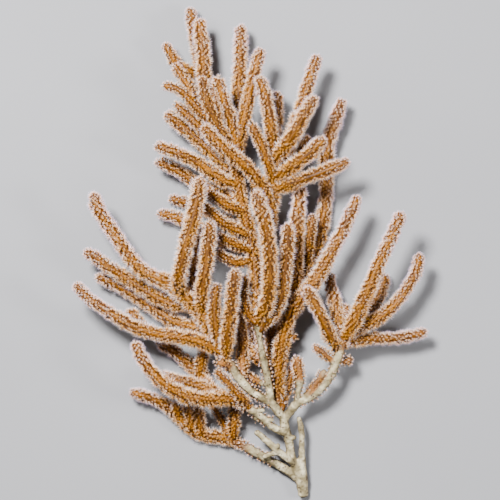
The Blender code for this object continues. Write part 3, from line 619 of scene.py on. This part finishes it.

# %% [markdown]
# The bark's colours need to know how much of the coat each point still has, and how far it
# faces the surface, which gets painted shade, a brownish darkening. Both are worked out and
# kept on the points, which is quicker than painting them by hand.

# %% What the limbs' points know
PAINTED_SHADE_EDGE = 0.9  # painted shade starts where a normal's Z falls below this


def keep(obj, name, values):
    """Keeps a number on each point of the mesh, to be read later."""
    layer = obj.data.attributes.new(name, "FLOAT", "POINT")
    layer.data.foreach_set("value", values)


def search_tree(places):
    tree = KDTree(len(places))
    for index, place in enumerate(places):
        tree.insert(place, index)
    tree.balance()
    return tree


nearest = search_tree(np.concatenate([run.places for run in bare_runs]))
coats = np.concatenate([run.coat for run in bare_runs])
keep(limbs, "coat", [coats[nearest.find(v.co)[1]] for v in limbs.data.vertices])
# Painted shade: the more a point's normal turns from straight up, the darker its bark.
painted_shade = [min(1, max(0, PAINTED_SHADE_EDGE - v.normal.z)) for v in limbs.data.vertices]
keep(limbs, "painted_shade", painted_shade)
print("grime on average", round(sum(painted_shade) / len(painted_shade), 2))

# %% [markdown]
# A polyp is a short stalk that carries a crown of eight arms. It is modelled once, standing
# on the origin and one unit tall, from a four-sided cone and eight slim, three-sided ones.
# Arms at four leans and lengths, in turn, keep the crown from looking like a wheel. It is
# repeated thousands of times, so it has only a few dozen faces.

# %% One polyp
ARMS = 8
STALK = 0.48  # of the polyp's height
STALK_FOOT, STALK_TOP = 0.12, 0.16  # the stalk's radii
ARM_LEANS = (24, 60, 32, 66)  # in degrees from upright, in turn
ARM_LENGTHS = (0.60, 0.50, 0.58, 0.46)  # of the polyp's height, in turn
ARM_RADIUS = 0.055  # at its foot
ARM_RING = 0.10  # how far from the middle an arm starts
ARM_START = 0.94  # of the stalk's height


def one_polyp():
    """The stalk and its arms as one mesh. Points keep their arm's number, the stalk's 0."""
    deselect()
    bpy.ops.mesh.primitive_cone_add(
        vertices=4, radius1=STALK_FOOT, radius2=STALK_TOP, depth=STALK,
        end_fill_type="TRIFAN", location=(0, 0, STALK / 2))
    parts = [bpy.context.object]
    for number in range(ARMS):
        turn = 2 * math.pi * number / ARMS
        kind = number % len(ARM_LEANS)
        lean = math.radians(ARM_LEANS[kind])
        length = ARM_LENGTHS[kind]
        away = Vector((math.cos(turn), math.sin(turn), 0))
        axis = (away * math.sin(lean) + Vector((0, 0, math.cos(lean)))).normalized()
        foot = away * ARM_RING + Vector((0, 0, STALK * ARM_START))
        bpy.ops.mesh.primitive_cone_add(
            vertices=3, radius1=ARM_RADIUS, radius2=0, depth=length,
            end_fill_type="NOTHING", location=foot + axis * length / 2)
        arm = bpy.context.object
        arm.rotation_mode = "QUATERNION"
        arm.rotation_quaternion = axis.to_track_quat("Z", "Y")
        parts.append(arm)
    for number, part in enumerate(parts):
        keep(part, "arm", [number] * len(part.data.vertices))
    choose(*parts)
    bpy.ops.object.transform_apply(location=True, rotation=True, scale=True)
    bpy.ops.object.join()
    return bpy.context.object


polyp = one_polyp()
print("the polyp is", round(max(v.co.z for v in polyp.data.vertices), 3), "units tall")

# %% [markdown]
# The coats are built from arrays, so the polyp is turned into arrays. The faces under the
# stalk are never seen and come off. Each point also gets its share of the way from the foot
# to the arms' tips, and each arm a step of painted light and shade, lighter or darker, which
# stands for the light that real arms catch one by one.

# %% The polyp as arrays
BELOW = 0.01  # faces wholly under this height close the stalk's foot
STALK_COLOUR_END = 0.4  # the stalk's share of the way from foot to tip
ARM_COLOUR_START = 0.5  # where an arm's share starts
ARM_FOOT = STALK * 0.9  # about the height of an arm's foot
PAINTED_ARM_LIGHTS = (-0.1, 0.20, -0.12, 0.08, -0.20, 0.16, -0.05, 0.10, -0.16)  # painted light and shade, lighter or darker: the stalk's, then the arms'

shell = bmesh.new()
shell.from_mesh(polyp.data)
bottom = [f for f in shell.faces if all(v.co.z < BELOW for v in f.verts)]
bmesh.ops.delete(shell, geom=bottom, context="FACES")
bmesh.ops.triangulate(shell, faces=shell.faces)
shell.verts.index_update()
POLYP_POINTS = np.array([v.co for v in shell.verts])
POLYP_FACES = np.array([[v.index for v in f.verts] for f in shell.faces])
arm_layer = shell.verts.layers.float["arm"]
arm_of = np.array([v[arm_layer] for v in shell.verts]).round().astype(int)
shell.free()
bpy.data.objects.remove(polyp, do_unlink=True)

up = POLYP_POINTS[:, 2]
on_arm = ARM_COLOUR_START + (1 - ARM_COLOUR_START) * (up - ARM_FOOT) / (1 - ARM_FOOT)
on_stalk = STALK_COLOUR_END * up / STALK
ALONG = np.where(arm_of > 0, on_arm, on_stalk).clip(0, 1)
PAINTED_ARM_LIGHT = np.array(PAINTED_ARM_LIGHTS)[arm_of]
print("one polyp has", len(POLYP_FACES), "faces and", len(POLYP_POINTS), "points")

# %% [markdown]
# Where two fingers cross, a polyp must not stand inside the other's core, and crowded
# polyps look different from those in the open. A search tree finds what is near far faster
# than a look at every point of every run.

# %% What is near a place
BESIDE_CORE = 4 * MM  # how far away another core is looked for
AROUND = 15 * MM  # how far away other fingers make a place crowded
CROWD = 13  # points of other runs, at which a place is about a third open

middles = np.concatenate([run.places for run in RUNS])
centres, seen_centres = search_tree(middles), search_tree(middles * (1, 1, 0))
owners = [number for number, run in enumerate(RUNS) for _ in run.places]
core_reach = [core_radius(*pair) * MM for run in RUNS for pair in zip(run.radii, run.coat)]


def inside_another(place, number):
    """Whether a place is inside the core of another run."""
    return any(owners[index] != number and distance < core_reach[index]
               for _, index, distance in centres.find_range(place, BESIDE_CORE))


def openness(place, number):
    """1 in the open, down to 0 where an eye above sees other fingers all around."""
    near = seen_centres.find_range((place[0], place[1], 0), AROUND)
    return math.exp(-sum(owners[index] != number for _, index, _ in near) / CROWD)


print(len(owners), "points along the runs")

# %% [markdown]
# Polyps stand all around a finger. Some fingers show a stripe, where few stand along the
# top and the amber core is seen. On the bare limbs a thin fringe is left beside the top.
# Each direction gets a chance, because a living coat thins out and never stops at a line.

# %% Where the coat is thin
COATED = 0.5  # a place with more than this share of the coat is living
FRINGE_FROM = {"low_limb": 0.40, "hook_limb": 0.26, "left_limb": 0.16, "middle_limb": 0.16,
               "right_limb": 0.18, "fork_spur": 0.10}
FRINGE_CHANCE = (0.10, 0.95)  # on top of and below a limb, and beside it
FRINGE_FALL = (2.2, 2.5)  # the chance beside a limb, and how fast it falls towards the top
STRIPE_EDGE = (0.90, 0.07)  # the stripe's edge, as a direction's Z, and its rise to the tip
STRIPE_CHANCE = (0.06, 0.6)  # on the stripe, and what is added at the tip


def kept(run, side, share, coat):
    """The chance that a polyp stands in this direction, at this share of the run."""
    if coat < COATED and share > FRINGE_FROM.get(run.piece, 1):
        beside, fall = FRINGE_FALL
        return min(FRINGE_CHANCE[1], max(FRINGE_CHANCE[0], beside - fall * abs(side[2])))
    if "stripe" in run.piece and side[2] > STRIPE_EDGE[0] + STRIPE_EDGE[1] * share:
        return coat * (STRIPE_CHANCE[0] + STRIPE_CHANCE[1] * share**4)
    return coat


print("a fringe stands on", ", ".join(FRINGE_FROM))

# %% [markdown]
# The polyps of a run stand in a spiral, a golden angle apart, as seeds do in a sunflower:
# that spreads them evenly with no rows. They lean a little towards the tip, and a dome of
# them closes it. Scattering them at random would leave bald spots and clumps.

# %% A spiral of polyps
GOLDEN = math.pi * (3 - math.sqrt(5))
GOLDEN_SLIP = 0.12  # in radians, by which the angle varies
AREA = 7.4  # of the coat for each polyp, in square millimetres
COAT_MIDDLE = 0.72  # of the reach, where that area is counted
SLIMMEST = 3.6  # a slimmer stretch gets the polyps of this radius
FIRST = 0.6 * MM  # of the run, where its first polyp stands
LEAN = 0.28  # towards the tip, in radians
rng = np.random.default_rng(7)


def around(ahead, turn):
    """The direction square to a run's own, at a turn around it."""
    across = np.cross(ahead, (0, 0, 1))
    across /= np.linalg.norm(across)
    return math.cos(turn) * across + math.sin(turn) * np.cross(across, ahead)


def sites(number, run):
    """For each polyp of a run: its foot, its direction, its height and its paleness."""
    found = []
    tip = run.radii[-1]
    shank = run.lengths[-1] - tip * MM
    distance, turn = FIRST, rng.uniform(0, 2 * math.pi)
    while distance < shank:
        radius, coat = at(run, distance, run.radii), at(run, distance, run.coat)
        place, ahead = at(run, distance, run.places), at(run, distance, run.tangents)
        share = distance / run.lengths[-1]
        distance += AREA / (2 * math.pi * COAT_MIDDLE * max(radius, SLIMMEST)) * MM
        turn += GOLDEN + rng.normal(0, GOLDEN_SLIP)
        side = around(ahead, turn)
        if rng.random() < kept(run, side, share, coat):
            found.append((place, side, ahead, LEAN, radius, coat, share))
    ahead = run.tangents[-1]
    place = at(run, shank, run.places)
    dome = round(2 * math.pi * (COAT_MIDDLE * tip)**2 / AREA) if run.coat[-1] > COATED else 0
    for step in range(dome):
        side = around(ahead, step * GOLDEN)
        found.append((place, side, ahead, math.asin((step + 0.5) / dome), tip, 1.0, 1.0))
    return [stand(number, *site) for site in found]


print("about", round(1000 / AREA), "polyps on ten square centimetres of coat")

# %% [markdown]
# A polyp fills the depth of the coat, give or take a little. Those on top are shorter, and
# those beside and below a finger are taller, more so where fingers crowd. Paleness runs from
# 0, golden, to 1, lavender white: beside a finger, in the open and at its tip it is higher.
# The arms are pale of their own, but the rise beside a finger and in the open is painted
# light, and the more golden tone where fingers crowd is painted shade.

# %% Height and paleness
ROOTED = 0.9  # of the core's radius, where a stalk starts
HEIGHTS = (0.74, 1.14)  # of the coat's depth, at random
FRINGE_HEIGHT = 3.2  # millimetres, the least depth of a coat
TOP = 0.80  # a direction's Z above this is on the top of a finger
TOP_SHARE = 0.74  # of its full height that a polyp has there
BELOW_TOP = 0.35  # a direction's Z below this is beside or below a finger
SIDE_GROWTH = 1.08  # polyps there stand a little taller
LOWER_GROWTH = 0.26  # added to that where fingers crowd
CLEARANCE = 0.3 * MM  # of an arm's tip from the surface
SHORTEST = 1.3 * MM
LOW_PART = 0.3  # of a polyp's height, which has to be outside other cores
PALE = {"least": 0.06, "open": 0.12, "tip": 0.34, "beside": 0.38, "beside_open": 0.50,
        "fringe": 0.25, "spread": 0.12}
PALE_ENDS = (0.03, 0.97)


def stand(number, place, side, ahead, lean, radius, coat, share):
    """One polyp's foot, direction, height and paleness, or None where it has no room."""
    core_r = core_radius(radius, coat) * ROOTED
    out = side * math.cos(lean) + ahead * math.sin(lean)
    foot = place + (side if lean == LEAN else out) * core_r * MM
    height = max(FRINGE_HEIGHT, radius - core_r) * rng.uniform(*HEIGHTS) * MM
    clear = openness(foot, number)
    if out[2] < BELOW_TOP and coat > COATED:
        height *= SIDE_GROWTH + LOWER_GROWTH * (1 - clear)
    height *= TOP_SHARE if out[2] > TOP else 1
    if foot[2] + out[2] * height < CLEARANCE:
        height = (foot[2] - CLEARANCE) / -out[2]
    if height < SHORTEST or inside_another(foot + out * height * LOW_PART, number):
        return None
    beside = 1 - abs(out[2])
    # Painted light and shade: paler beside a finger and in the open, more golden where fingers
    # crowd.
    pale = PALE["least"] + PALE["open"] * clear + PALE["tip"] * share**3
    pale += rng.normal(0, PALE["spread"])
    pale += beside * (PALE["beside"] + PALE["beside_open"] * clear)
    pale += PALE["fringe"] * (coat < COATED)
    return np.array([*foot, *out, height, min(PALE_ENDS[1], max(PALE_ENDS[0], pale))])


places = {limb: [] for limb in LIMBS}
for number, run in enumerate(RUNS):
    places[run.limb] += [site for site in sites(number, run) if site is not None]
print(sum(map(len, places.values())), "polyps,", {k: len(v) for k, v in places.items()})

# %% [markdown]
# All polyps of a limb are one joined mesh, made from arrays, because thousands of copied
# objects would be slow. Each polyp gets its place, a turn of its own and its height. On the
# UV map, U runs from the stalk's foot to the arms' tips, and V is how pale the polyp is,
# with each arm's painted light and shade added.

# %% Joined coats
WIDTHS = (0.66, 0.92)  # of a polyp's height, at random
UPRIGHT = 0.9  # a direction with more Z than this is turned about X, not Z
V_ENDS = (0.02, 0.98)
UV_EDGE = 0.012  # width that keeps the faces from being a line on the map


def coat_of(name, found):
    found = np.array(found)
    count = len(found)
    feet, outs, heights, pale = found[:, :3], found[:, 3:6], found[:, 6], found[:, 7]
    helper = np.where(np.abs(outs[:, 2:3]) < UPRIGHT, (0, 0, 1), (1, 0, 0))
    first = np.cross(outs, helper)
    first /= np.linalg.norm(first, axis=1)[:, None]
    second = np.cross(outs, first)
    turn = rng.uniform(0, 2 * math.pi, count)[:, None]
    one = first * np.cos(turn) + second * np.sin(turn)
    two = np.cross(outs, one)
    wide = heights * rng.uniform(*WIDTHS, count)
    x, y, z = POLYP_POINTS.T
    points = (feet[:, None] + one[:, None] * (wide[:, None] * x)[..., None]
              + two[:, None] * (wide[:, None] * y)[..., None]
              + outs[:, None] * (heights[:, None] * z)[..., None])
    points[..., 2] = np.maximum(points[..., 2], FLOOR_GAP)
    size = len(POLYP_POINTS)
    faces = (POLYP_FACES[None] + (np.arange(count) * size)[:, None, None]).reshape(-1, 3)
    mesh = bpy.data.meshes.new(name)
    mesh.vertices.add(count * size)
    mesh.vertices.foreach_set("co", points.astype(np.float32).ravel())
    mesh.loops.add(faces.size)
    mesh.loops.foreach_set("vertex_index", faces.astype(np.int32).ravel())
    mesh.polygons.add(len(faces))
    mesh.polygons.foreach_set("loop_start", np.arange(0, faces.size, 3, dtype=np.int32))
    mesh.update(calc_edges=True)
    corner_up = ALONG[POLYP_FACES]
    corner_side = np.tile((-UV_EDGE, UV_EDGE, 0), (len(POLYP_FACES), 1))
    u = np.broadcast_to(corner_up[None], (count, *corner_up.shape))
    # V: the polyp's paleness plus each arm's painted light and shade
    v = (pale[:, None, None] + PAINTED_ARM_LIGHT[POLYP_FACES]).clip(*V_ENDS) + corner_side[None]
    layer = mesh.uv_layers.new(name="OFBake")
    layer.uv.foreach_set("vector", np.stack([u, v], -1).astype(np.float32).ravel())
    return new_object(name, mesh)


coats_of = {limb: coat_of(limb + "_polyps", found) for limb, found in places.items() if found}
print({limb: len(obj.data.polygons) for limb, obj in coats_of.items()}, "faces")

# %% [markdown]
# The finishes are worked out from noise and from what the meshes know. Each helper adds one
# kind of node and wires it, which keeps a finish short enough to read.

# %% Helpers for materials
def linear(*rgb):
    """A screen's colour as the numbers that light is worked out in."""
    return (*[c / 12.92 if c <= 0.04045 else ((c + 0.055) / 1.055) ** 2.4 for c in rgb], 1.0)


def finish(name, roughness, specular=0.5):
    made = bpy.data.materials.new(name)
    made.use_nodes = True
    shader = made.node_tree.nodes["Principled BSDF"]
    shader.inputs["Roughness"].default_value = roughness
    shader.inputs["Specular IOR Level"].default_value = specular
    return made, made.node_tree, shader


def node(tree, kind, **sockets):
    made = tree.nodes.new(kind)
    for name, value in sockets.items():
        made.inputs[name].default_value = value
    return made


def known(tree, name):
    """What a mesh's points know under this name."""
    made = tree.nodes.new("ShaderNodeAttribute")
    made.attribute_name = name
    return made.outputs["Fac"]


def ramp(tree, source, *stops):
    made = tree.nodes.new("ShaderNodeValToRGB")
    for spare in range(len(stops) - 2):
        made.color_ramp.elements.new(0.5)
    for element, (place, colour) in zip(made.color_ramp.elements, stops):
        element.position = place
        element.color = colour
    tree.links.new(source, made.inputs["Fac"])
    return made.outputs["Color"]


def mix(tree, share, first, second, kind="MIX"):
    made = tree.nodes.new("ShaderNodeMix")
    made.data_type = "RGBA"
    made.blend_type = kind
    for number, value in ((0, share), (6, first), (7, second)):
        if isinstance(value, (float, tuple)):
            made.inputs[number].default_value = value
        else:
            tree.links.new(value, made.inputs[number])
    return made.outputs[2]


def on_object(tree, made):
    """Lets a texture follow the object, in metres."""
    where = tree.nodes.new("ShaderNodeTexCoord")
    tree.links.new(where.outputs["Object"], made.inputs["Vector"])
    return made


def noise(tree, scale, detail=3.0):
    """Soft patches, about one metre divided by the scale across."""
    made = node(tree, "ShaderNodeTexNoise", Scale=scale, Detail=detail)
    return on_object(tree, made).outputs["Fac"]


def bump(tree, shader, height, strength, distance):
    made = node(tree, "ShaderNodeBump", Strength=strength, Distance=distance)
    tree.links.new(height, made.inputs["Height"])
    tree.links.new(made.outputs["Normal"], shader.inputs["Normal"])


BLACK, WHITE = (0, 0, 0, 1), (1, 1, 1, 1)
print("a screen's mid grey in light:", round(linear(0.5)[0], 3))

# %% [markdown]
# The core is amber tissue, wet-looking and mottled. Broad noise gives patches a centimetre
# or two wide, and fine noise the specks. It is made twice, a little darker for the fingers
# that show a stripe.

# %% Amber core
def amber_core(name, depth):
    """Amber tissue. A depth below 1 makes it darker."""
    made, tree, shader = finish(name, roughness=0.48, specular=0.2)
    broad, fine = noise(tree, 60.0), noise(tree, 900.0, detail=4.0)
    body = ramp(tree, broad, (0.3, linear(0.33 * depth, 0.18 * depth, 0.0)),
                (0.5, linear(0.46 * depth, 0.27 * depth, 0.0)),
                (0.72, linear(0.60 * depth, 0.37 * depth, 0.0)))
    grain = ramp(tree, fine, (0.40, linear(0.50, 0.42, 0.34)), (0.56, WHITE))
    tree.links.new(mix(tree, 0.9, body, grain, "MULTIPLY"), shader.inputs["Base Color"])
    bump(tree, shader, fine, strength=0.5, distance=0.6 * MM)
    return made


core_finish, stripe_finish = amber_core("amber_core", 0.92), amber_core("amber_stripe", 0.80)
print("made", core_finish.name, "and", stripe_finish.name)

# %% [markdown]
# The arms go from amber at the foot to gold or to a lavender white. Two ramps along the
# polyp hold the golden and the pale kind, and V mixes them, so that one finish serves
# thousands of polyps that all differ.

# %% Arms
def arms_finish():
    made, tree, shader = finish("polyp_arms", roughness=0.42, specular=0.25)
    own = tree.nodes.new("ShaderNodeUVMap")
    own.uv_map = "OFBake"
    split = tree.nodes.new("ShaderNodeSeparateXYZ")
    tree.links.new(own.outputs["UV"], split.inputs["Vector"])
    warm = ramp(tree, split.outputs["X"], (0.05, linear(0.24, 0.125, 0.0)),
                (0.40, linear(0.37, 0.21, 0.0)), (0.58, linear(0.65, 0.41, 0.0)),
                (1.0, linear(0.97, 0.72, 0.24)))
    pale = ramp(tree, split.outputs["X"], (0.05, linear(0.30, 0.155, 0.0)),
                (0.40, linear(0.47, 0.275, 0.0)), (0.60, linear(0.89, 0.74, 0.58)),
                (0.86, linear(0.98, 0.96, 1.0)))
    share = ramp(tree, split.outputs["Y"], (0.20, BLACK), (0.72, WHITE))
    outer = ramp(tree, split.outputs["Y"], (0.66, WHITE), (0.95, linear(0.95, 0.90, 1.0)))
    coat = mix(tree, 1.0, mix(tree, share, warm, pale), outer, "MULTIPLY")
    tree.links.new(coat, shader.inputs["Base Color"])
    return made


arm_finish = arms_finish()
print("made", arm_finish.name)

# %% [markdown]
# The bark is dry and cream, with a fine grain and small brown pores, which are the cells of
# a Voronoi texture, shown in patches. Painted shade, a brownish darkening, lies on what
# faces the surface, and where the coat is still alive the bark gives way to amber.

# %% Bark
def bark():
    made, tree, shader = finish("pale_bark", roughness=0.72)
    body = ramp(tree, noise(tree, 130.0, detail=5.0), (0.34, linear(0.33, 0.28, 0.16)),
                (0.5, linear(0.51, 0.465, 0.34)), (0.66, linear(0.71, 0.67, 0.55)))
    cells = on_object(tree, node(tree, "ShaderNodeTexVoronoi", Scale=420.0))
    pores = ramp(tree, cells.outputs["Distance"], (0.18, linear(0.42, 0.22, 0.05)),
                 (0.42, WHITE))
    some = ramp(tree, noise(tree, 240.0), (0.48, BLACK), (0.56, WHITE))
    dry = mix(tree, some, body, mix(tree, 1.0, body, pores, "MULTIPLY"))
    # Painted shade: brownish darkening on what turns from straight up, multiplied into the bark.
    painted_shade_tint = mix(tree, known(tree, "painted_shade"), WHITE, linear(0.62, 0.50, 0.30))
    dry = mix(tree, 1.0, dry, painted_shade_tint, "MULTIPLY")
    living = ramp(tree, noise(tree, 80.0), (0.35, linear(0.31, 0.17, 0.0)),
                  (0.65, linear(0.48, 0.28, 0.0)))
    tree.links.new(mix(tree, known(tree, "coat"), dry, living), shader.inputs["Base Color"])
    bump(tree, shader, noise(tree, 600.0, detail=5.0), strength=0.7, distance=0.8 * MM)
    return made


bark_finish = bark()
print("made", bark_finish.name)

# %% [markdown]
# Every piece gets its finish and moves with the one body there is, and the solid it stands
# for is hidden. The coats hide no solid, because the cores under them already do.

# %% Finish every piece
for piece, obj in cores.items():
    obj.data.materials.append(stripe_finish if "stripe" in piece else core_finish)
    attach(obj, "root")
    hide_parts(piece)
for obj in coats_of.values():
    obj.data.materials.append(arm_finish)
    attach(obj, "root")
limbs.data.materials.clear()
limbs.data.materials.append(bark_finish)
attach(limbs, "root")
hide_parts(*BARE_PIECES)
print("every solid is stood for:", sum(n.hide_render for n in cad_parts.values()))

# %% [markdown]
# The colony lies on a plain, pale sheet. A flat plane is enough, since nothing of it is
# seen but its tone and the shadows.

# %% Surface
bpy.ops.mesh.primitive_plane_add(size=6)
surface = bpy.context.object
surface.name = "surface"
surface_finish, surface_tree, surface_shader = finish("pale_surface", roughness=0.9)
surface_tone = ramp(surface_tree, noise(surface_tree, 3.0), (0.3, (0.19, 0.19, 0.20, 1)),
                    (0.7, (0.21, 0.21, 0.22, 1)))
surface_tree.links.new(surface_tone, surface_shader.inputs["Base Color"])
surface.data.materials.append(surface_finish)
print("the surface is", surface.dimensions.x, "metres wide")

# %% [markdown]
# The light is a soft disc above the crown's left, a weaker one low at the right for shape,
# and an even sky. One hard lamp would drown the small arms in their own shadows.

# %% Light
SKY = 0.24  # the strength of the even light from all around


def soft_disc(name, place, size, power):
    light = bpy.data.lights.new(name, "AREA")
    light.shape = "DISK"
    light.size = size
    light.energy = power
    obj = new_object(name, light)
    obj.location = place
    obj.rotation_euler = (-Vector(place)).to_track_quat("-Z", "Y").to_euler()


soft_disc("key", (-0.46, 0.6, 1.38), size=0.35, power=124)
soft_disc("side", (1.2, -0.1, 0.9), size=0.4, power=22)
world = bpy.data.worlds.new("sky")
world.use_nodes = True
background = world.node_tree.nodes["Background"]
background.inputs["Color"].default_value = WHITE
background.inputs["Strength"].default_value = SKY
bpy.context.scene.world = world
print("two lights and a sky of", SKY)

# %% [markdown]
# The camera looks straight down from the eye's own place, with a long lens, so that the
# fingers overlap in the render as they do in the photograph.

# %% Camera
EYE_UP = 0.0016  # towards the crown, to centre the colony in the view
lens = bpy.data.cameras.new("camera")
lens.lens = 180
lens.sensor_width = 36
camera = new_object("camera", lens)
camera.location = (0, EYE_UP, EYE_HEIGHT * MM)
bpy.context.scene.camera = camera
print("camera at", tuple(camera.location))
